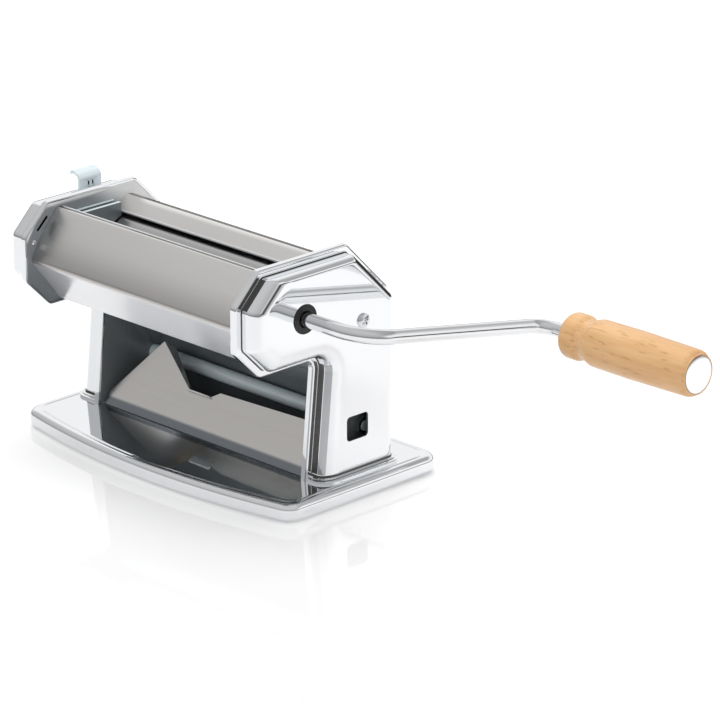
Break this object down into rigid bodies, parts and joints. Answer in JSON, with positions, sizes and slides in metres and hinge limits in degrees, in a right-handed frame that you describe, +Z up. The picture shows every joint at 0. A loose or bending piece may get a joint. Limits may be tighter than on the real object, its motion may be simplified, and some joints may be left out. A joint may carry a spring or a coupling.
{
  "type": "pasta machine",
  "caption": "Hand-cranked pasta sheeter with two smooth rollers between pressed cheeks on a flat base, a gap regulator and a removable crank with a wooden grip.",
  "frame": {"origin": "on the underside of the base, midway between the cheeks and about midway front to back of the legs", "axes": "+X along the rollers towards the crank, +Y from front to back, +Z up from the table"},
  "size_m": [0.3558, 0.1865, 0.1367],
  "materials": {
    "chromed_sheet": "mirror chrome on pressed steel",
    "satin_sheet": "polished sheet, slightly brushed",
    "dark_sheet": "plain dark sheet",
    "plate_steel": "plated steel",
    "roller_steel": "ground steel",
    "gear_steel": "sintered steel, oiled",
    "bronze": "plain bearing metal",
    "zinc": "blue-white zinc plating",
    "screw_steel": "bright plated",
    "scraper_plastic": "pale plastic",
    "black_plastic": "black plastic",
    "chromed_rod": "polished chrome",
    "beech": "lacquered light wood"
  },
  "bodies": {
    "root": {"base_pan": "chromed_sheet", "base_plate": "dark_sheet", "left_side_plate": "plate_steel", "right_side_plate": "plate_steel", "left_cheek": "chromed_sheet", "right_cheek": "chromed_sheet", "front_cover": "satin_sheet", "rear_cover": "satin_sheet", "left_end_guide": "plate_steel", "right_end_guide": "plate_steel", "left_front_bush": "bronze", "right_front_bush": "bronze", "left_regulator_bush": "bronze", "right_regulator_bush": "bronze", "regulator_dial": "zinc", "front_tie_rod": "zinc", "rear_tie_rod": "zinc", "lower_tie_rod": "zinc", "tie_rod_nuts": "screw_steel", "cheek_screws": "screw_steel", "front_scraper": "scraper_plastic", "rear_scraper": "scraper_plastic", "slide_plate": "satin_sheet", "rear_apron": "dark_sheet", "foot_screws": "screw_steel", "foot_nuts": "screw_steel", "crank_bush": "black_plastic"},
    "front_roller": {"front_roller": "roller_steel", "drive_gear": "gear_steel", "front_circlips": "gear_steel"},
    "crank": {"crank_rod": "chromed_rod", "grip_cap": "chromed_rod"},
    "grip": {"grip": "beech"},
    "regulator": {"regulator_shaft": "zinc", "regulator_lever": "zinc", "detent_pin": "screw_steel", "lever_nut": "screw_steel"},
    "rear_carriage": {"left_rear_bearing": "bronze", "right_rear_bearing": "bronze"},
    "rear_roller": {"rear_roller": "roller_steel", "driven_gear": "gear_steel", "rear_circlips": "gear_steel"}
  },
  "joints": [
    {"name": "crank_turn", "type": "hinge", "parent": "root", "child": "front_roller", "pos_m": [0, -0.033, 0.105], "axis": [1, 0, 0], "continuous": true},
    {"name": "crank_pull", "type": "slide", "parent": "front_roller", "child": "crank", "axis": [1, 0, 0], "range_m": [0, 0.03]},
    {"name": "grip_spin", "type": "hinge", "parent": "crank", "child": "grip", "pos_m": [0.2, 0.10059, 0.07952], "axis": [1, 0, 0], "continuous": true},
    {"name": "regulator_turn", "type": "hinge", "parent": "root", "child": "regulator", "pos_m": [0, -0.0068, 0.088], "axis": [1, 0, 0], "range_deg": [-61, 61]},
    {"name": "gap_slide", "type": "slide", "parent": "root", "child": "rear_carriage", "axis": [0, 1, 0], "range_m": [-0.00095, 0.00095]},
    {"name": "rear_roller_turn", "type": "hinge", "parent": "rear_carriage", "child": "rear_roller", "pos_m": [0, -0.0068, 0.105], "axis": [1, 0, 0], "continuous": true}
  ],
  "couplings": [
    {"joint": "rear_roller_turn", "follows": "crank_turn", "ratio": -1},
    {"joint": "regulator_turn", "follows": "gap_slide", "rad_per_m": -1099.3}
  ]
}
